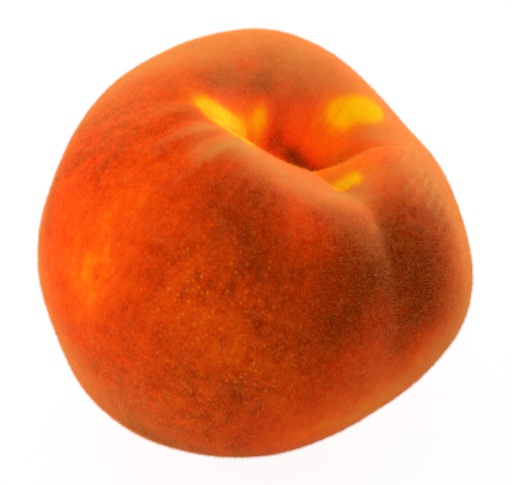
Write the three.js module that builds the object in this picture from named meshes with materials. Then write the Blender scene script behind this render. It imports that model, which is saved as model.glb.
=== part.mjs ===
// A ripe peach lying on the flat spot it settles on. Millimetres and degrees, +Z up.
// The origin is the middle of the flat spot. One solid carries everything: the two cheeks, the
// stem cavity with the scar of the stalk, the suture down one side and the blossom point.
//
// The fruit has its own axes: "stalk" runs from the blossom point out through the cavity, "front"
// is the side the suture runs down and "flank" is square to both. Headings on the ground are
// counted from +X towards +Y.

import * as THREE from "three";

// body, before anything is cut or raised
const GIRTH_R = 38.8; // half the width across the stalk axis
const CROWN_H = 33.4; // middle of the fruit to the top, as if there were no cavity
const BASE_H = 38.7; // middle of the fruit to the blossom end

// how the fruit lies
const STALK_LEAN = 20; // stalk axis off the vertical
const STALK_HEADING = -10; // the way it leans
const SUTURE_HEADING = -48; // the side the suture faces
const MIDDLE_ABOVE_GROUND = 37.8; // presses the lowest 0.8 mm of the skin into the flat spot
const FOOT_Y = 0.8; // the flat spot lies this far to one side of the middle of the fruit
const REST_SOFTNESS = 0.5; // height over which the skin rolls into the flat spot

// stem cavity: an oval funnel whose bottom is rounded off at the stalk scar
const CAVITY = { depth: 22.6, long: 13.2, short: 9, turn: 72, front: -1.9, flank: 3.1 };
const CAVITY_FLOOR = { depth: 20, blend: 1.2 };
const SCAR = { ringR: 2.4, ringW: 0.8, ringH: 0.45, pitR: 1.5, pit: 0.5 };

// where the suture breaks through the rim of the cavity: a broad notch with a narrow cleft in it,
// which the lip of the big cheek overhangs a little
const NOTCH = { depth: 3.7, at: 13.1, long: 5, wide: 6.1 };
const CLEFT = { depth: 1.3, long: 4.2, short: 1.5, turn: 18, front: 9.9, flank: -0.9 };

// rises and falls of the crown: bearing from the suture, distance from the stalk axis
const CROWN_LUMPS = [
  { bearing: 43, out: 15, spread: 8, lift: 1.9 }, // lip of the small cheek
  { bearing: -37, out: 13.7, spread: 10, lift: -4.1 }, // lip of the big cheek, worn low
  { bearing: 88, out: 19.3, spread: 7, lift: -1.3 }, // saddle at the end of the oval
  { bearing: -113, out: 17, spread: 4.5, lift: -1 }, // groove that runs out across the big cheek
];

// suture: a soft valley, a finer crease in its top part, and the small cheek set lower than the big one
const VALLEY = { top: 1.6, low: 1, wideTop: 5, wideLow: 10 };
const CREASE = { depth: 0.35, wide: 1.6 };
const STEP = { drop: 0.8, wide: 14 };

// puckers that fan out of the cavity across the big cheek: how many would go right round, and
// the patch that has them
const PUCKERS = { height: 0.3, folds: 22, turn: 7, bearing: -105, span: 24, out: 23, spread: 6 };

// blossom end: a shallow dimple with a dry point in it
const DIMPLE = { depth: 1.0, r: 5 };
const POINT = { height: 0.6, r: 1.4 };

// broad swellings and flats of the whole body: heading, height angle, spread angle, lift
const SWELLS = [
  { heading: 77, rise: 51, spread: 28, lift: 3.2 }, // full far shoulder
  { heading: 24, rise: 50, spread: 14, lift: 0.4 }, // its end above the saddle
  { heading: 28, rise: 30, spread: 11, lift: -0.7 }, // and the slight flat below that
  { heading: 167, rise: 18, spread: 22, lift: -1.9 }, // flatter side of the big cheek
  { heading: -166, rise: -19, spread: 13, lift: -0.6 }, // and the slight flat under it
  { heading: -144, rise: -40, spread: 22, lift: 1.5 }, // heavy foot of the big cheek
  { heading: -38, rise: -41, spread: 15, lift: -0.85 }, // hollow where the suture runs under
  { heading: -10, rise: -12, spread: 20, lift: 2.15 }, // round of the small cheek
];

// fineness of the surface
const RINGS = 54; // from the stalk to the blossom point
const RING_GATHER = 0.09; // draws the rings towards both ends
const MERIDIANS = 88; // around the stalk axis
const MERIDIAN_GATHER = 0.35; // draws the meridians towards the suture

const SKIN_COLOUR = 0xd9480f;
const SKIN_ROUGHNESS = 0.75;

const rad = THREE.MathUtils.degToRad;
const bell = (x, spread) => Math.exp(-((x / spread) ** 2));
const ease = THREE.MathUtils.smoothstep;

/** Unit vector from a heading on the ground and an angle above it. */
function pointing(heading, rise) {
  const level = Math.cos(rad(rise));
  const x = level * Math.cos(rad(heading));
  const y = level * Math.sin(rad(heading));
  return new THREE.Vector3(x, y, Math.sin(rad(rise)));
}

const stalk = pointing(STALK_HEADING, 90 - STALK_LEAN);
const front = pointing(SUTURE_HEADING, 0).projectOnPlane(stalk).normalize();
const flank = new THREE.Vector3().crossVectors(stalk, front);
const swellDirections = SWELLS.map((swell) => pointing(swell.heading, swell.rise));

/** 1 in the middle of an oval that lies across the crown, falling to 0 outside it. */
function inOval(x, y, oval) {
  const turn = rad(oval.turn);
  const dx = x - oval.front;
  const dy = y - oval.flank;
  const along = dx * Math.cos(turn) + dy * Math.sin(turn);
  const across = dy * Math.cos(turn) - dx * Math.sin(turn);
  return bell(along, oval.long) * bell(across, oval.short);
}

/** How far the cavity lies below the crown: the funnel, eased into its floor, and the scar. */
function cavityDrop(x, y, inside) {
  const soft = CAVITY_FLOOR.blend;
  const floor = Math.exp(-CAVITY_FLOOR.depth / soft);
  const drop = soft * (Math.log(1 + floor) - Math.log(Math.exp((-CAVITY.depth * inside) / soft) + floor));
  const fromScar = Math.hypot(x - CAVITY.front, y - CAVITY.flank);
  const ring = SCAR.ringH * bell(fromScar - SCAR.ringR, SCAR.ringW);
  return drop - ring + SCAR.pit * bell(fromScar, SCAR.pitR);
}

/** What the suture takes off the skin at `down` degrees from the stalk. */
function sutureCut(x, y, bearing, down) {
  const facing = ease(Math.cos(bearing), 0, 0.6);
  const length = ease(down, 15, 32) * (1 - ease(down, 140, 172));
  const depth = THREE.MathUtils.lerp(VALLEY.top, VALLEY.low, ease(down, 35, 100));
  const wide = THREE.MathUtils.lerp(VALLEY.wideTop, VALLEY.wideLow, ease(down, 30, 100));
  const crease = CREASE.depth * bell(y, CREASE.wide) * (1 - ease(down, 35, 85));
  const step = STEP.drop * ease(y, -5, 3) * bell(y, STEP.wide) * (1 - ease(down, 60, 120));
  return (depth * bell(y, wide) + crease + step) * facing * length;
}

/** Height of the puckers beside the cavity. */
function puckerLift(out, bearing) {
  const aside = bearing - rad(PUCKERS.bearing);
  const offset = Math.atan2(Math.sin(aside), Math.cos(aside));
  const patch = bell(offset, rad(PUCKERS.span)) * bell(out - PUCKERS.out, PUCKERS.spread);
  return PUCKERS.height * patch * Math.sin(PUCKERS.folds * (bearing - rad(PUCKERS.turn)));
}

/** Skin of the fruit about its middle, for a place on the plain body. */
function skinAt(out, bearing, height) {
  const reach = height > 0 ? CROWN_H : BASE_H;
  const down = THREE.MathUtils.radToDeg(Math.acos(THREE.MathUtils.clamp(height / reach, -1, 1)));
  const x = out * Math.cos(bearing);
  const y = out * Math.sin(bearing);
  const onCrown = ease(Math.cos(rad(down)), 0, 0.35);
  const onBase = height < 0 ? 1 : 0;
  const inside = inOval(x, y, CAVITY) * onCrown;

  let z = height;
  for (const lump of CROWN_LUMPS) {
    const dx = x - lump.out * Math.cos(rad(lump.bearing));
    const dy = y - lump.out * Math.sin(rad(lump.bearing));
    z += lump.lift * bell(Math.hypot(dx, dy), lump.spread) * onCrown;
  }
  z -= NOTCH.depth * bell(x - NOTCH.at, NOTCH.long) * bell(y, NOTCH.wide) * onCrown;
  z -= CLEFT.depth * inOval(x, y, CLEFT) * onCrown;
  z -= cavityDrop(x, y, inside) * onCrown;
  z += puckerLift(out, bearing) * onCrown;
  z += (DIMPLE.depth * bell(out, DIMPLE.r) - POINT.height * bell(out, POINT.r)) * onBase;

  const skin = new THREE.Vector3()
    .addScaledVector(front, x)
    .addScaledVector(flank, y)
    .addScaledVector(stalk, z);
  skin.setLength(skin.length() - sutureCut(x, y, bearing, down));

  const outward = skin.clone().normalize();
  let lift = 0;
  SWELLS.forEach((swell, i) => {
    lift += swell.lift * bell(outward.angleTo(swellDirections[i]), rad(swell.spread));
  });
  return skin.addScaledVector(outward, lift * (1 - 0.9 * inside));
}

/** Set a place on the skin over the ground, and press what would be below it flat. */
function layDown(point) {
  const z = point.z + MIDDLE_ABOVE_GROUND;
  point.y -= FOOT_Y;
  if (z < -REST_SOFTNESS) point.z = 0;
  else if (z < REST_SOFTNESS) point.z = (z + REST_SOFTNESS) ** 2 / (4 * REST_SOFTNESS);
  else point.z = z;
  return point;
}

function makePeach() {
  const profile = [];
  for (let i = 0; i <= RINGS; i++) {
    const u = i / RINGS;
    const down = Math.PI * (u - RING_GATHER * Math.sin(2 * Math.PI * u));
    const onAxis = i === 0 || i === RINGS;
    const height = Math.cos(down) * (Math.cos(down) > 0 ? CROWN_H : BASE_H);
    profile.push(new THREE.Vector2(onAxis ? 0 : GIRTH_R * Math.sin(down), height));
  }
  // the profile runs from the blossom end upwards, which turns the faces outwards
  const geometry = new THREE.LatheGeometry(profile.reverse(), MERIDIANS);
  const position = geometry.attributes.position;
  for (let i = 0; i < position.count; i++) {
    const turn = Math.atan2(position.getX(i), position.getZ(i));
    const bearing = turn - MERIDIAN_GATHER * Math.sin(turn);
    const out = Math.hypot(position.getX(i), position.getZ(i));
    const { x, y, z } = layDown(skinAt(out, bearing, position.getY(i)));
    position.setXYZ(i, x, y, z);
  }
  geometry.computeVertexNormals();

  const skin = new THREE.MeshStandardMaterial({
    name: "skin",
    color: SKIN_COLOUR,
    roughness: SKIN_ROUGHNESS,
    metalness: 0,
  });
  const peach = new THREE.Mesh(geometry, skin);
  peach.name = "peach";
  return peach;
}

const part = new THREE.Group();
part.name = "peach_part";
part.add(makePeach());

export default part;
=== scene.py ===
import math

import bpy
import numpy as np
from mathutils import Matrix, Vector, noise


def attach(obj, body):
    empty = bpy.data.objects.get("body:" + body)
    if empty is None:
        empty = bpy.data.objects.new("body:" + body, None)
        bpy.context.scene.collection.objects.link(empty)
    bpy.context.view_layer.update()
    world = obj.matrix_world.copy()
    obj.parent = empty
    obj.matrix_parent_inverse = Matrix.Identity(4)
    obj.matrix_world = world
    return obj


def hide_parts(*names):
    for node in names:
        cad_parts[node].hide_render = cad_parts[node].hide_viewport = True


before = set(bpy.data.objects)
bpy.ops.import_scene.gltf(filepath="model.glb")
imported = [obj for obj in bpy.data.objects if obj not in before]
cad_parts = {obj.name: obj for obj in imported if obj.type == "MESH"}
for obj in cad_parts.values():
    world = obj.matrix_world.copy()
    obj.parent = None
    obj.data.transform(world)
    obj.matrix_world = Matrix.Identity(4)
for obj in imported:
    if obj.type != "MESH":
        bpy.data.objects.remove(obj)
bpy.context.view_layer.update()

# ---------------------------------------------------------------------------------------------
# The skin of the peach, one closed surface: two cheeks either side of the suture, the stem
# cavity with the scar of the stalk, and the blossom point. A ripe fruit, grown on the tree, so
# nothing on it is straight or even. Worked in millimetres about the middle of the fruit.
# ---------------------------------------------------------------------------------------------
MM = 0.001
GIRTH_R, CROWN_H, BASE_H = 38.8, 33.4, 38.7
STALK_HEADING, STALK_RISE = -10, 70
SUTURE_HEADING = -48
MIDDLE_ABOVE_GROUND, FOOT_Y, REST_SOFTNESS = 37.8, 0.8, 0.5
CROWN_ENDS = (0, 0.35)  # cosine of the angle from the stalk over which the crown's relief fades

# stem cavity: an oval funnel eased into its floor, where the stalk left a ring and a pit
CAVITY_AT, CAVITY_TURN, CAVITY_LONG, CAVITY_SHORT = (-1.9, 3.1), 72, 13.2, 9
CAVITY_DEPTH, FLOOR_DEPTH, FLOOR_SOFTNESS = 22.6, 20, 1.2
RING_R, RING_WIDE, RING_H = 2.4, 0.8, 0.45
PIT_R, PIT_DEPTH = 1.5, 0.5

# lips and saddle of the crown: bearing from the suture, distance from the stalk, spread, lift
CROWN_LUMPS = (
    (43, 15, 8, 1.9),  # lip of the small cheek
    (-37, 13.7, 10, -4.1),  # lip of the large cheek, worn low
    (88, 19.3, 7, -1.3),  # saddle at the end of the oval
    (-113, 17, 4.5, -1.0),  # groove that runs out across the large cheek
)

# where the suture breaks through the rim: a broad notch with a narrow cleft in it
NOTCH_DEPTH, NOTCH_AT, NOTCH_LONG, NOTCH_WIDE = 3.7, 13.1, 5, 6.1
CLEFT_DEPTH, CLEFT_AT, CLEFT_TURN, CLEFT_LONG, CLEFT_SHORT = 1.3, (9.9, -0.9), 18, 4.2, 1.5

# suture: a soft valley that grows shallow and wide, a crease at its top, the small cheek set low
SUTURE_STARTS, SUTURE_ENDS = (15, 32), (140, 172)
VALLEY_DEPTH, VALLEY_LOSES, VALLEY_LOSES_OVER = 1.6, 0.6, (35, 100)
VALLEY_WIDE, VALLEY_GAINS, VALLEY_GAINS_OVER = 5, 5, (30, 100)
CREASE_DEPTH, CREASE_WIDE, CREASE_ENDS = 0.35, 1.6, (35, 85)
STEP_DROP, STEP_ACROSS, STEP_WIDE, STEP_ENDS = 0.8, (-5, 3), 14, (60, 120)

# puckers that fan out of the cavity: how many would go right round, and the patch that has them
PUCKER_H, PUCKERS, PUCKER_TURN = 0.30, 22, 7
FINE_PUCKER_H, FINE_PUCKERS, FINE_PUCKER_TURN = 0.10, 47, 1.3
FAN_BEARING, FAN_SPAN, FAN_OUT, FAN_SPREAD = -105, 24, 23, 6

# blossom end: a shallow dimple with a dry point in it
DIMPLE_DEPTH, DIMPLE_R = 1.0, 5
POINT_H, POINT_R = 0.6, 1.4

# broad swellings and flats of the whole fruit: heading, height angle, spread angle, lift
SWELLS = (
    (77, 51, 28, 3.2),  # full far shoulder
    (24, 50, 14, 0.4),  # its end above the saddle
    (28, 30, 11, -0.7),  # and the slight flat below that
    (167, 18, 22, -1.9),  # flatter side of the large cheek
    (-166, -19, 13, -0.6),  # and the slight flat under it
    (-144, -40, 22, 1.5),  # heavy foot of the large cheek
    (-38, -41, 15, -0.85),  # hollow where the suture runs under
    (-10, -12, 20, 2.15),  # round of the small cheek
)
SWELLS_SPARE_CAVITY = 0.9

MERIDIANS, RINGS = 380, 249
MERIDIAN_GATHER, RING_GATHER = 0.35, 0.09  # towards the suture, and towards both ends


def bell(x, spread):
    """1 at 0, falling away on both sides."""
    return np.exp(-((x / spread) ** 2))


def ease(x, low, high):
    """0 below low and 1 above high, with a smooth rise between them."""
    t = np.clip((x - low) / (high - low), 0, 1)
    return t * t * (3 - 2 * t)


def in_oval(x, y, turn, long, short):
    """1 in the middle of an oval turned by an angle, falling to 0 outside it."""
    c, s = math.cos(math.radians(turn)), math.sin(math.radians(turn))
    return bell(x * c + y * s, long) * bell(y * c - x * s, short)


def pointing(heading, rise):
    """Unit vector from a heading on the ground and an angle above it."""
    h, r = math.radians(heading), math.radians(rise)
    return np.array([math.cos(r) * math.cos(h), math.cos(r) * math.sin(h), math.sin(r)])


# the fruit's own axes: out of the stem cavity, the side the suture runs down, and square to both
stalk = pointing(STALK_HEADING, STALK_RISE)
front = pointing(SUTURE_HEADING, 0)
front = front - stalk * front.dot(stalk)
front /= np.linalg.norm(front)
flank = np.cross(stalk, front)


def pucker_wave(bearing):
    """1 along the crests of the coarse puckers and -1 between them."""
    return np.sin(PUCKERS * (bearing - math.radians(PUCKER_TURN)))


def skin_at(down, bearing):
    """Places on the skin, mm over the ground, at angles from the stalk and from the suture."""
    out = GIRTH_R * np.sin(down)
    z = np.cos(down) * np.where(np.cos(down) > 0, CROWN_H, BASE_H)
    x, y = out * np.cos(bearing), out * np.sin(bearing)
    crown = ease(np.cos(down), *CROWN_ENDS)

    # lips of the two cheeks, the saddle between them, and the notch where the suture comes in
    for lump_bearing, lump_out, spread, lift in CROWN_LUMPS:
        a = math.radians(lump_bearing)
        aside = np.hypot(x - lump_out * math.cos(a), y - lump_out * math.sin(a))
        z = z + lift * bell(aside, spread) * crown
    z = z - NOTCH_DEPTH * bell(x - NOTCH_AT, NOTCH_LONG) * bell(y, NOTCH_WIDE) * crown
    cleft_x, cleft_y = x - CLEFT_AT[0], y - CLEFT_AT[1]
    z = z - CLEFT_DEPTH * in_oval(cleft_x, cleft_y, CLEFT_TURN, CLEFT_LONG, CLEFT_SHORT) * crown

    # stem cavity
    cavity_x, cavity_y = x - CAVITY_AT[0], y - CAVITY_AT[1]
    inside = in_oval(cavity_x, cavity_y, CAVITY_TURN, CAVITY_LONG, CAVITY_SHORT) * crown
    floor = math.exp(-FLOOR_DEPTH / FLOOR_SOFTNESS)
    funnel = np.exp(-CAVITY_DEPTH * inside / FLOOR_SOFTNESS)
    drop = FLOOR_SOFTNESS * (math.log(1 + floor) - np.log(funnel + floor))
    from_scar = np.hypot(cavity_x, cavity_y)
    drop = drop - RING_H * bell(from_scar - RING_R, RING_WIDE) + PIT_DEPTH * bell(from_scar, PIT_R)
    z = z - drop * crown

    # puckers, coarse ones and finer ones between them
    turned = bearing - math.radians(FAN_BEARING)
    turned = np.arctan2(np.sin(turned), np.cos(turned))
    fan = bell(turned, math.radians(FAN_SPAN)) * bell(out - FAN_OUT, FAN_SPREAD) * crown
    fine = FINE_PUCKER_H * np.sin(FINE_PUCKERS * bearing + FINE_PUCKER_TURN)
    z = z + fan * (PUCKER_H * pucker_wave(bearing) + fine)

    # blossom end
    base = np.cos(down) < 0
    z = z + base * (DIMPLE_DEPTH * bell(out, DIMPLE_R) - POINT_H * bell(out, POINT_R))

    # suture
    p = x[:, None] * front + y[:, None] * flank + z[:, None] * stalk
    deg = np.degrees(down)
    facing = ease(np.cos(bearing), 0, 0.6)
    length = ease(deg, *SUTURE_STARTS) * (1 - ease(deg, *SUTURE_ENDS))
    depth = VALLEY_DEPTH - VALLEY_LOSES * ease(deg, *VALLEY_LOSES_OVER)
    wide = VALLEY_WIDE + VALLEY_GAINS * ease(deg, *VALLEY_GAINS_OVER)
    crease = CREASE_DEPTH * bell(y, CREASE_WIDE) * (1 - ease(deg, *CREASE_ENDS))
    step = STEP_DROP * ease(y, *STEP_ACROSS) * bell(y, STEP_WIDE) * (1 - ease(deg, *STEP_ENDS))
    cut = (depth * bell(y, wide) + crease + step) * facing * length
    reach = np.linalg.norm(p, axis=1)
    p = p * ((reach - cut) / reach)[:, None]

    # broad swellings and flats
    outward = p / np.linalg.norm(p, axis=1)[:, None]
    lift = 0
    for heading, rise, spread, height in SWELLS:
        angle = np.degrees(np.arccos(np.clip(outward @ pointing(heading, rise), -1, 1)))
        lift = lift + height * bell(angle, spread)
    p = p + outward * (lift * (1 - SWELLS_SPARE_CAVITY * inside))[:, None]

    # laid down on the ground, the lowest part pressed flat
    p[:, 1] -= FOOT_Y
    h = p[:, 2] + MIDDLE_ABOVE_GROUND
    rolled = (h + REST_SOFTNESS) ** 2 / (4 * REST_SOFTNESS)
    p[:, 2] = np.where(h < -REST_SOFTNESS, 0, np.where(h < REST_SOFTNESS, rolled, h))
    return p


bpy.ops.object.select_all(action="DESELECT")
bpy.ops.mesh.primitive_uv_sphere_add(segments=MERIDIANS, ring_count=RINGS + 1, radius=1)
skin = bpy.context.object
skin.name = skin.data.name = "peach_skin"
mesh = skin.data
count = len(mesh.vertices)
ball = np.empty(count * 3)
mesh.vertices.foreach_get("co", ball)
ball = ball.reshape(-1, 3)
even = np.arccos(np.clip(ball[:, 2], -1, 1))
down = even - math.pi * RING_GATHER * np.sin(2 * even)
turn = np.arctan2(ball[:, 1], ball[:, 0])
bearing = turn - MERIDIAN_GATHER * np.sin(turn)
place = skin_at(down, bearing)

from_stalk = GIRTH_R * np.sin(down)  # distance from the stalk axis
near_stalk = down < 1.2  # not the blossom end, where that distance is small again
away = place - np.array([0, -FOOT_Y, MIDDLE_ABOVE_GROUND])
away /= np.linalg.norm(away, axis=1)[:, None]

# unevenness of the grown skin: slow dents and a finer ripple, none where it rests
DENT_APART, DENT_H = 11, 0.16
RIPPLE_APART, RIPPLE_H = 3.1, 0.035
dents = np.array([noise.noise(Vector(v / DENT_APART)) for v in place])
ripple = np.array([noise.noise(Vector(v / RIPPLE_APART)) for v in place])
standing = ease(place[:, 2], 0.3, 3)

# torn tissue at the scar
TORN_R, TORN_PER_MM, TORN_H = 3.2, 2.3, 0.5
scar_x = from_stalk * np.cos(bearing) - CAVITY_AT[0]
scar_y = from_stalk * np.sin(bearing) - CAVITY_AT[1]
on_scar = bell(np.hypot(scar_x, scar_y), TORN_R) * (down < 1)
torn = np.array([
    noise.noise(Vector(v * TORN_PER_MM)) if near > 0.05 else 0 for v, near in zip(place, on_scar)
])
place += away * (standing * (DENT_H * dents + RIPPLE_H * ripple))[:, None]
place += stalk * (TORN_H * torn * on_scar)[:, None]

# soft folds across the small cheek, 3.5 degrees apart, bent and broken up by the unevenness
FOLD_H, FOLD_PHASE = 0.11, 1.8  # mm, and radians of the wave for each degree
LOBE_DOWN, LOBE_BEARING = (38, 14), (40, 26)  # middle and spread of the patch that has them
on_lobe = bell(np.degrees(down) - LOBE_DOWN[0], LOBE_DOWN[1])
on_lobe = on_lobe * bell(np.degrees(bearing) - LOBE_BEARING[0], LOBE_BEARING[1])
on_lobe *= np.clip(0.85 + 1.0 * ripple, 0.2, 1.3)
folds = FOLD_PHASE * np.degrees(down) + 7 * dents + 1.4 * ripple
folds = np.sin(folds + 0.04 * np.degrees(bearing))
place += away * (FOLD_H * folds * on_lobe)[:, None]
mesh.vertices.foreach_set("co", (place * MM).ravel())
mesh.update()
bpy.ops.object.shade_smooth()


def smear(places, radius):
    """1 along a line of places on the skin, falling to 0 beside it.

    Each place is (angle from the stalk, bearing from the suture), in degrees.
    """
    ends = skin_at(np.radians([p[0] for p in places]), np.radians([p[1] for p in places]))
    near = np.full(count, 1e9)
    for a, b in zip(ends[:-1], ends[1:]):
        t = np.clip((place - a) @ (b - a) / ((b - a) @ (b - a)), 0, 1)
        near = np.minimum(near, np.linalg.norm(place - (a + t[:, None] * (b - a)), axis=1))
    return bell(near, radius)


def keep(name, kind, values):
    """Stores a value at each point of the skin for its material."""
    stored = mesh.attributes.new(name, kind, "POINT").data
    values = np.ascontiguousarray(values, dtype=np.float32)
    stored.foreach_set("vector" if kind == "FLOAT_VECTOR" else "value", values.ravel())


def painted(under, touches):
    """Values over the skin: one all over, and touches of (amount, how wide, line of places)."""
    total = np.full(count, float(under))
    for amount, radius, places in touches:
        total += amount * smear(places, radius)
    return total


# how much red the sun has brought out, from 0, ripe yellow, to 1, dark red; some touches below are
# painted shade and one is a painted highlight, as marked
blush_and_painted_light = painted(0.66, (
    (-0.34, 2.2, [(27, -125), (24, -127), (21, -126)]),  # streak into the cavity
    (-0.44, 2.0, [(18, -130), (14, -144)]),
    (-0.44, 1.7, [(25, -118), (23, -106), (22, -95), (21, -86)]),  # and along its lip
    (-0.22, 2.8, [(27, -122), (23, -121), (20, -118)]),
    (-0.12, 3.6, [(18, -130), (14, -152), (13, -176)]),
    (-0.30, 2.1, [(16, 174), (14, 176)]),
    (-0.14, 3.0, [(31, -128), (29, -127)]),  # spot beside it
    (-0.44, 2.9, [(24, 108), (28, 103), (33, 97)]),  # far side of the cavity
    (-0.22, 6.0, [(19, 122), (24, 104), (32, 100)]),
    (-0.36, 1.5, [(19, -6), (19, 2), (20, 10)]),  # where the suture drops into the cavity
    (-0.08, 4.0, [(18, -2), (19, 20), (22, 40)]),
    (-0.24, 7.5, [(62, -95), (74, -91), (85, -88)]),  # paler cheek: its own orange with a painted highlight where the left lamp falls
    (0.22, 8.0, [(44, -60), (51, -46)]),  # painted shade on the shoulder of the large cheek
    (0.17, 8.0, [(60, -32), (56, -12), (57, 12)]),  # across the suture: deeper blush with painted shade on the small cheek
    (0.18, 7.0, [(40, 16), (52, 24), (66, 16)]),
    (0.18, 5.0, [(32, 54), (38, 44), (44, 34)]),
    (0.14, 4.5, [(91, -54), (93, -46)]),
    (0.42, 1.8, [(13, 92), (12, 107), (12, 124)]),  # painted shadow deep in the cavity, on its far wall and behind the near lip
    (0.20, 4.0, [(22, 160), (20, 140)]),
    (0.26, 2.4, [(18, 178), (16, 156), (13, 150), (11, 152)]),
    (0.26, 2.0, [(13, 113), (12, 134), (12, 150)]),
    (0.12, 3.2, [(20, 134), (17, 120)]),
    (0.09, 3.0, [(17, 142), (15, 128)]),
    (-0.07, 4.0, [(30, 92), (27, 76)]),
    (0.24, 3.0, [(26, -148), (21, -164), (19, 172)]),  # beyond the streak
    (-0.08, 9.0, [(48, -150), (50, -130)]),
    (0.10, 4.0, [(25, -138), (23, -150)]),
    (0.05, 8.0, [(47, -93), (56, -83)]),  # beside the pale cheek
    # painted shade along the suture valley and on the small cheek
    (0.12, 4.0, [(43, -9), (50, -10)]),
    (0.15, 5.5, [(46, 3), (62, 0), (78, 0)]),
    (0.10, 4.0, [(72, 4), (80, 8)]),
    (-0.07, 3.5, [(25, 14), (25, 2)]),  # lip of the small cheek
    (-0.04, 7.0, [(40, -80), (47, -76)]),
    (-0.17, 5.0, [(42, -40), (53, -40), (62, -33)]),
    (0.12, 4.0, [(34, -28), (44, -22)]),
    (0.09, 7.0, [(57, -20), (66, -18)]),  # down the suture: blush with painted shade in its valley
    (0.08, 5.0, [(66, -32), (70, -24)]),
    (-0.10, 6.0, [(42, -106), (30, -92)]),  # over the puckers
    (-0.07, 7.0, [(84, -46), (88, -40)]),
    (-0.10, 7.0, [(72, -8), (80, 4)]),
    (-0.08, 9.0, [(70, -50), (76, -38)]),  # freckled part
    (-0.12, 9.0, [(96, -24), (86, 4)]),
    (0.04, 9.0, [(106, -46), (110, -36)]),
    (0.13, 5.0, [(76, -39), (85, -36), (94, -38)]),  # painted shade under the belly, with paler places beside it
    (0.13, 6.0, [(131, -58), (132, -42), (129, -27)]),
    (-0.24, 6.0, [(116, 2), (98, 9), (86, 18)]),
    (-0.20, 6.0, [(108, -18), (102, -6)]),
    (-0.10, 7.0, [(96, -98), (106, -90)]),
    (-0.09, 7.0, [(80, -112), (98, -106)]),
    (-0.22, 17.0, [(100, 150), (112, 110)]),  # side away from the sun
    (-0.16, 12.0, [(150, 60), (150, -150)]),
))
blush_and_painted_light -= 0.46 * bell(from_stalk, 14) * near_stalk  # paler into the cavity
turned_away = ease(place[:, 1] - 0.3 * place[:, 2], -10, 22)  # blotched where leaves shaded it
blush_and_painted_light += turned_away * (0.34 * dents + 0.06 * ripple)
YELLOWEST, YELLOW_SOFTNESS = 0.02, 0.04  # eased to this floor, so that no yellow is flat
over_floor = np.logaddexp(0, (blush_and_painted_light - YELLOWEST) / YELLOW_SOFTNESS)
blush_and_painted_light = YELLOWEST + over_floor * YELLOW_SOFTNESS

# how strongly the blush is mottled: most on the pale cheek and where it is freckled
freckled = smear([(68, -60), (77, -48), (84, -40)], 11)
freckled = np.maximum(freckled, 0.7 * smear([(86, -50), (106, -54)], 12))
mottled = 0.42 + 0.40 * np.maximum(freckled, 0.6 * smear([(60, -110), (90, -90)], 16))
mottled += 0.20 * smear([(42, -124), (62, -128)], 10)
mottled -= 0.10 * bell(from_stalk, 20) * near_stalk

# how pale the down makes the skin, with painted sheen where light catches the down: most on the
# crown, the lips and the crests of the puckers
down_and_sheen = painted(0.0, (
    (0.90, 10.0, [(30, -170), (26, 150)]),
    (0.70, 5.0, [(25, 144), (27, 116)]),
    (0.95, 4.5, [(25, -92), (23, -75), (20, -40), (23, -10)]),
    (0.85, 2.0, [(37, -91), (30, -87), (25, -82)]),
    (0.50, 4.0, [(29, 88), (38, 84)]),
    (0.55, 5.0, [(27, -4), (38, -8)]),
    (0.55, 4.5, [(27, -66), (26, -44), (29, -24)]),
    (0.45, 3.5, [(22, 2), (25, 14), (29, 30)]),
    (0.25, 7.0, [(80, -6), (92, -4)]),
    (0.80, 8.0, [(33, 44), (50, 54), (68, 46), (82, 42)]),
    (0.50, 2.0, [(30, -112), (33, -100)]),
    (0.20, 5.0, [(40, 36), (34, 39)]),
    (0.45, 9.0, [(52, -160), (52, -130)]),
    (0.12, 8.0, [(84, -128), (104, -112)]),
    (0.35, 9.0, [(117, -68), (118, -90)]),
    (0.30, 5.0, [(108, 8), (94, 10), (82, 18)]),
))
# painted highlight where the down catches the light on the crests of the puckers and of the folds
crests = bell((np.degrees(bearing) - FAN_BEARING) / FAN_SPAN, 1)
crests = crests * bell(from_stalk - 22, 5) * near_stalk
down_and_sheen += 0.9 * crests * np.maximum(0, pucker_wave(bearing)) ** 2
down_and_sheen += 0.55 * on_lobe * np.maximum(0, folds)

# painted sheen over the shoulders and flanks that turn away from the camera, along the outline,
# down to the belly
AWAY_FROM_CAMERA = np.array([0.0, 0.82, -0.57])
MOST_DOWN_AND_SHEEN = 1.3
turned_from_camera = away @ AWAY_FROM_CAMERA
outline_sheen = ease(turned_from_camera, -0.50, 0.05) * (1 - 0.7 * ease(turned_from_camera, 0.05, 0.60))
outline_sheen = outline_sheen * ease(place[:, 2], 8, 30)
outline_sheen *= 1 - (1 - ease(from_stalk, 15, 21)) * near_stalk  # but not in the cavity
down_and_sheen = np.minimum(down_and_sheen + 1.7 * outline_sheen, np.maximum(down_and_sheen, MOST_DOWN_AND_SHEEN))
down_and_sheen *= ease(blush_and_painted_light, 0.05, 0.40)  # the yellow places are almost bare
keep("blush_and_painted_light", "FLOAT", blush_and_painted_light)
keep("mottled", "FLOAT", mottled)
keep("freckled", "FLOAT", np.clip(0.06 + freckled, 0, 1))
keep("down_and_sheen", "FLOAT", down_and_sheen)
keep("scar", "FLOAT", on_scar)
STREAK_STRETCH = 0.12  # grain runs out from the stalk: short across, long down the fruit
grain = np.stack([np.cos(bearing), np.sin(bearing), down * STREAK_STRETCH], axis=1)
keep("grain", "FLOAT_VECTOR", grain)


def linear(hexcode):
    """A colour given in sRGB, as the linear one that a node takes."""
    parts = [int(hexcode[i : i + 2], 16) / 255 for i in (1, 3, 5)]
    return [c / 12.92 if c <= 0.04045 else ((c + 0.055) / 1.055) ** 2.4 for c in parts] + [1]


def node(tree, kind, inputs=None, **settings):
    """Adds a node: its settings, and its inputs, each a value or another node's output."""
    new = tree.nodes.new(kind)
    for name, value in settings.items():
        setattr(new, name, value)
    for name, value in (inputs or {}).items():
        if isinstance(value, bpy.types.NodeSocket):
            tree.links.new(value, new.inputs[name])
        else:
            new.inputs[name].default_value = value
    return new


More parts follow.
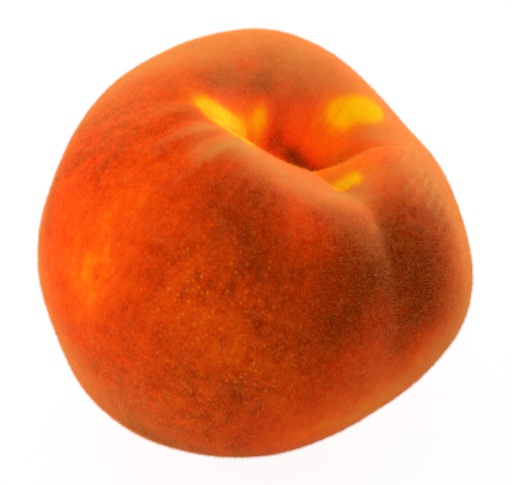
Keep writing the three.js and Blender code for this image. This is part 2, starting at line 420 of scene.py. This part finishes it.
# Ripe peach skin: thin and tender, yellow under a red blush that is mottled and drawn out in
# fine streaks from the stalk, with pale lenticels. Under its down it has next to no shine.
RIPE_YELLOW, DARKEST_BLUSH = "#FFC800", "#842803"
BLUSH_BETWEEN = (
    (0.13, "#FFA802"), (0.28, "#FB7801"), (0.44, "#F65103"), (0.62, "#E13B02"), (0.80, "#B73003"),
)
# the tan is the pale down, with painted sheen where light catches it
GOLD, LENTICEL, DOWN_AND_SHEEN_TAN, DRY_SCAR = "#D88010", "#F6940E", "#DC8E44", "#5A3418"
velvet = bpy.data.materials.new("downy_peach_skin")
velvet.use_nodes = True
tree = velvet.node_tree
tree.nodes.clear()
spot = node(tree, "ShaderNodeTexCoord").outputs["Object"]
grain = node(tree, "ShaderNodeAttribute", attribute_name="grain").outputs["Vector"]
on_skin = {
    name: node(tree, "ShaderNodeAttribute", attribute_name=name).outputs["Fac"]
    for name in ("blush_and_painted_light", "mottled", "freckled", "down_and_sheen", "scar")
}
mottling = 0.0
for vector, scale, detail, share in (
    (spot, 60, 3, 0.60),  # blotches, 17 mm
    (spot, 240, 4, 0.50),  # mottling, 4 mm
    (spot, 800, 3, 0.46),  # fine mottling, 1.2 mm
    (grain, 26, 4, 0.44),  # streaks, 1.5 mm apart round the middle
    (spot, 1700, 2, 0.32),  # velvet, 0.6 mm
):
    noise_at = node(
        tree, "ShaderNodeTexNoise",
        {"Vector": vector, "Scale": scale, "Detail": detail, "Roughness": 0.6},
    ).outputs["Fac"]
    centred = node(
        tree, "ShaderNodeMath", {0: noise_at, 1: 0.5}, operation="SUBTRACT"
    ).outputs[0]
    mottling = node(
        tree, "ShaderNodeMath", {0: centred, 1: share, 2: mottling}, operation="MULTIPLY_ADD"
    ).outputs[0]
amount = node(
    tree, "ShaderNodeMath", {0: mottling, 1: on_skin["mottled"], 2: on_skin["blush_and_painted_light"]},
    operation="MULTIPLY_ADD",
).outputs[0]
ramp = node(tree, "ShaderNodeValToRGB", {"Fac": amount})
stops = ramp.color_ramp.elements
stops[0].position, stops[0].color = 0.0, linear(RIPE_YELLOW)
stops[1].position, stops[1].color = 1.0, linear(DARKEST_BLUSH)
for at, hexcode in BLUSH_BETWEEN:
    stops.new(at).color = linear(hexcode)
colour = ramp.outputs["Color"]

# the yellow shows through a little where the skin is freckled
golden = node(
    tree, "ShaderNodeMath", {0: mottling, 1: -0.4, 2: 0.05}, operation="MULTIPLY_ADD"
).outputs[0]
golden = node(
    tree, "ShaderNodeMath", {0: golden, 1: on_skin["freckled"]},
    operation="MULTIPLY", use_clamp=True,
).outputs[0]
colour = node(
    tree, "ShaderNodeMix", {0: golden, 6: colour, 7: linear(GOLD)}, data_type="RGBA"
).outputs[2]

# freckles: lenticels 0.3 to 0.6 mm across, one in every millimetre or two
cells = node(tree, "ShaderNodeTexVoronoi", {"Vector": spot, "Scale": 1300, "Randomness": 1})
dot_size = node(
    tree, "ShaderNodeMapRange",
    {
        "Value": cells.outputs["Color"],
        "From Min": 0.2, "From Max": 0.8, "To Min": 0.1, "To Max": 0.55,
    },
).outputs["Result"]
dot = node(
    tree, "ShaderNodeMath", {0: dot_size, 1: cells.outputs["Distance"]}, operation="SUBTRACT"
).outputs[0]
dot = node(
    tree, "ShaderNodeMapRange", {"Value": dot, "From Min": 0, "From Max": 0.5, "To Max": 0.60},
    interpolation_type="SMOOTHSTEP",
).outputs["Result"]
dot = node(
    tree, "ShaderNodeMath", {0: dot, 1: on_skin["freckled"]}, operation="MULTIPLY"
).outputs[0]
colour = node(
    tree, "ShaderNodeMix", {0: dot, 6: colour, 7: linear(LENTICEL)}, data_type="RGBA"
).outputs[2]

# pale down, with painted sheen, lying thick and thin in tufts 2.4 mm and 0.8 mm across
pale_down_and_sheen = on_skin["down_and_sheen"]
for scale, share in ((420, 0.7), (1250, 1.0)):
    tuft = node(
        tree, "ShaderNodeTexNoise",
        {"Vector": spot, "Scale": scale, "Detail": 3, "Roughness": 0.6},
    ).outputs["Fac"]
    centred = node(tree, "ShaderNodeMath", {0: tuft, 1: 0.5}, operation="SUBTRACT").outputs[0]
    pale_down_and_sheen = node(
        tree, "ShaderNodeMath", {0: centred, 1: share, 2: pale_down_and_sheen}, operation="MULTIPLY_ADD"
    ).outputs[0]
pale_down_and_sheen = node(tree, "ShaderNodeMath", {0: pale_down_and_sheen, 1: 0.5}, operation="MULTIPLY").outputs[0]
colour = node(
    tree, "ShaderNodeMix", {0: pale_down_and_sheen, 6: colour, 7: linear(DOWN_AND_SHEEN_TAN)}, data_type="RGBA"
).outputs[2]

# dry brown tissue on the scar
scarred = node(
    tree, "ShaderNodeMapRange", {"Value": on_skin["scar"], "From Min": 0.35, "From Max": 0.75}
).outputs["Result"]
colour = node(
    tree, "ShaderNodeMix", {0: scarred, 6: colour, 7: linear(DRY_SCAR)}, data_type="RGBA"
).outputs[2]
relief = node(
    tree, "ShaderNodeBump", {"Height": noise_at, "Strength": 0.5, "Distance": 0.00016}
).outputs["Normal"]
shader = node(
    tree,
    "ShaderNodeBsdfPrincipled",
    {
        "Base Color": colour,
        "Normal": relief,
        "Roughness": 0.7,
        "IOR": 1.4,
        "Specular IOR Level": 0.05,
        "Specular Tint": linear("#FF9830"),
        "Subsurface Weight": 0.3,
        "Subsurface Radius": (1.0, 0.30, 0.04),
        "Subsurface Scale": 0.002,
        "Sheen Weight": 1.0,
        "Sheen Roughness": 0.1,
        "Sheen Tint": linear("#FFDC84"),
    },
)
node(tree, "ShaderNodeOutputMaterial", {"Surface": shader.outputs["BSDF"]})
mesh.materials.append(velvet)
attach(skin, "root")
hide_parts("peach")

# ---------------------------------------------------------------------------------------------
# The down: short pale hairs that stand on the skin all over and lean towards the blossom end.
# Each grows out of the skin, and is a needle with three sides.
# ---------------------------------------------------------------------------------------------
HAIRS, BUNDLES = 180000, 4
HAIR_LENGTHS = (0.20, 0.60)
HAIR_WIDTH = 0.028  # a real one is 0.02 mm, too fine to show
HAIR_ROOT_DEPTH = 0.03
HAIRS_SCATTER, HAIRS_DROOP = 0.20, 0.12
WIDTH_TO_RADIUS = 0.577  # from the side of an even triangle to its corner
THIRDS = (0, 2.0944, 4.1888)  # of a turn, in radians

# Plant hair: pale, dry and dull. It gives the fruit its velvet, and a light edge all round.
down_fibre = bpy.data.materials.new("pale_down")
down_fibre.use_nodes = True
fibre = down_fibre.node_tree.nodes["Principled BSDF"]
fibre.inputs["Base Color"].default_value = linear("#F6A630")
fibre.inputs["Roughness"].default_value = 0.8
fibre.inputs["Specular IOR Level"].default_value = 0


def from_lowest(face):
    """The corners of a face in the same sense, starting from the lowest number."""
    first = face.index(min(face))
    return face[first:] + face[:first]


# planted over the faces in a fixed order, since a new sphere lists them in another one each run
faces = sorted(from_lowest(face.vertices[:]) for face in mesh.polygons)
corners = np.array([
    (face[0], *face[i : i + 2]) for face in faces for i in range(1, len(face) - 1)
])
upright = np.empty(count * 3, dtype=np.float32)
mesh.vertices.foreach_get("normal", upright)
upright = upright.reshape(-1, 3)
a, b, c = place[corners].transpose(1, 0, 2)
area = np.linalg.norm(np.cross(b - a, c - a), axis=1)
draw = np.random.default_rng(11)
chosen = corners[draw.choice(len(area), HAIRS, p=area / area.sum())]
share = draw.dirichlet((1, 1, 1), HAIRS)[:, :, None]
root = (place[chosen] * share).sum(axis=1)
lean = (upright[chosen] * share).sum(axis=1)
lean += HAIRS_SCATTER * draw.normal(size=(HAIRS, 3)) - HAIRS_DROOP * stalk
lean /= np.linalg.norm(lean, axis=1)[:, None]
long = draw.uniform(*HAIR_LENGTHS, HAIRS)[:, None]
side = np.cross(lean, draw.normal(size=(HAIRS, 3)))
side /= np.linalg.norm(side, axis=1)[:, None]
other = np.cross(lean, side)
sunk = root - HAIR_ROOT_DEPTH * lean
foot = [
    sunk + HAIR_WIDTH * WIDTH_TO_RADIUS * (math.cos(t) * side + math.sin(t) * other)
    for t in THIRDS
]
points = np.stack(foot + [root + lean * long], axis=1) * MM
points[:, :, 2] = np.maximum(points[:, :, 2], 0)  # pressed flat where the fruit rests
needle = np.array([[0, 2, 1], [0, 1, 3], [1, 2, 3], [2, 0, 3]])
for n, bundle in enumerate(np.array_split(points, BUNDLES)):
    down_mesh = bpy.data.meshes.new(f"down_{n + 1}")
    faces = (needle[None] + 4 * np.arange(len(bundle))[:, None, None]).reshape(-1, 3)
    down_mesh.from_pydata(bundle.reshape(-1, 3), [], faces)
    hairs = bpy.data.objects.new(f"down_{n + 1}", down_mesh)
    bpy.context.collection.objects.link(hairs)
    down_mesh.materials.append(down_fibre)
    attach(hairs, "root")

# ---------------------------------------------------------------------------------------------
# Plain pale floor, large soft lights either side, overhead and behind, and the camera.
# ---------------------------------------------------------------------------------------------
FLOOR_R, FLOOR_Z = 3, -0.0001  # just under the fruit, so that the two don't share a plane
bpy.ops.object.select_all(action="DESELECT")
bpy.ops.mesh.primitive_circle_add(
    vertices=64, radius=FLOOR_R, fill_type="NGON", location=(0, 0, FLOOR_Z)
)
floor = bpy.context.object
floor.name = "floor"

# White paper lit from below, as on a light table: it hardly takes on the colour of the fruit.
paper = bpy.data.materials.new("white_paper")
paper.use_nodes = True
paper_tree = paper.node_tree
paper_shader = paper_tree.nodes["Principled BSDF"]
paper_shader.inputs["Base Color"].default_value = (0.10, 0.10, 0.10, 1)
paper_shader.inputs["Roughness"].default_value = 0.9
paper_shader.inputs["Specular IOR Level"].default_value = 0
paper_shader.inputs["Emission Color"].default_value = (1, 1, 1, 1)
seen = node(paper_tree, "ShaderNodeLightPath").outputs["Is Camera Ray"]
glow = node(
    paper_tree, "ShaderNodeMapRange", {"Value": seen, "To Min": 0.81, "To Max": 0.92}
).outputs["Result"]
paper_tree.links.new(glow, paper_shader.inputs["Emission Strength"])
floor.data.materials.append(paper)

# a white room that lights the fruit less than it shows
world = bpy.data.worlds.new("studio")
bpy.context.scene.world = world
world.use_nodes = True
room = world.node_tree
room.nodes.clear()
seen = node(room, "ShaderNodeLightPath").outputs["Is Camera Ray"]
strength = node(
    room, "ShaderNodeMapRange", {"Value": seen, "To Min": 0.2, "To Max": 0.95}
).outputs["Result"]
walls = node(room, "ShaderNodeBackground", {"Color": (1, 1, 1, 1), "Strength": strength})
node(room, "ShaderNodeOutputWorld", {"Surface": walls.outputs[0]})


def add_at(name, data, location, target):
    """Places a lamp or a camera, turned so that it looks at a point."""
    thing = bpy.data.objects.new(name, data)
    bpy.context.collection.objects.link(thing)
    thing.location = location
    thing.rotation_euler = (target - location).to_track_quat("-Z", "Y").to_euler()
    return thing


MIDDLE = Vector((0, 0, 0.035))
for name, location, size, watts in (
    ("light_left", (-0.66, -0.08, 0.30), (0.45, 0.45), 4.0),
    ("light_right", (0.48, 0.46, 0.24), (0.4, 0.4), 4.5),
    ("light_top", (-0.08, 0.02, 0.75), (0.6, 0.5), 1.7),
    ("light_back", (-0.25, 0.85, 0.30), (1.0, 0.5), 2.5),
):
    lamp = bpy.data.lights.new(name, "AREA")
    lamp.shape, lamp.energy = "RECTANGLE", watts
    lamp.size, lamp.size_y = size
    add_at(name, lamp, Vector(location), MIDDLE).visible_camera = False

# a snooted lamp that picks out the crown
CROWN_AT = Vector((0.013, 0.026, 0.060))
TO_SNOOT, SNOOT_AWAY = Vector((0.38, -0.77, 0.51)), 0.5
snoot = bpy.data.lights.new("light_crown", "SPOT")
snoot.energy, snoot.shadow_soft_size = 11.0, 0.04
snoot.spot_size, snoot.spot_blend = math.radians(7.5), 1.0
add_at("light_crown", snoot, CROWN_AT + SNOOT_AWAY * TO_SNOOT, CROWN_AT)

# a long lens, looking down at 35 degrees
CAMERA_RISE, CAMERA_AWAY = math.radians(35), 0.38
AIM = Vector((0.0009, -0.0008, 0.03775))
lens = bpy.data.cameras.new("camera")
lens.lens, lens.sensor_width = 148, 36
lens.clip_start, lens.clip_end = 0.01, 20
back = Vector((0, -math.cos(CAMERA_RISE), math.sin(CAMERA_RISE)))
bpy.context.scene.camera = add_at("camera", lens, AIM + back * CAMERA_AWAY, AIM)
bpy.context.scene.view_settings.view_transform = "Standard"

bpy.context.view_layer.update()
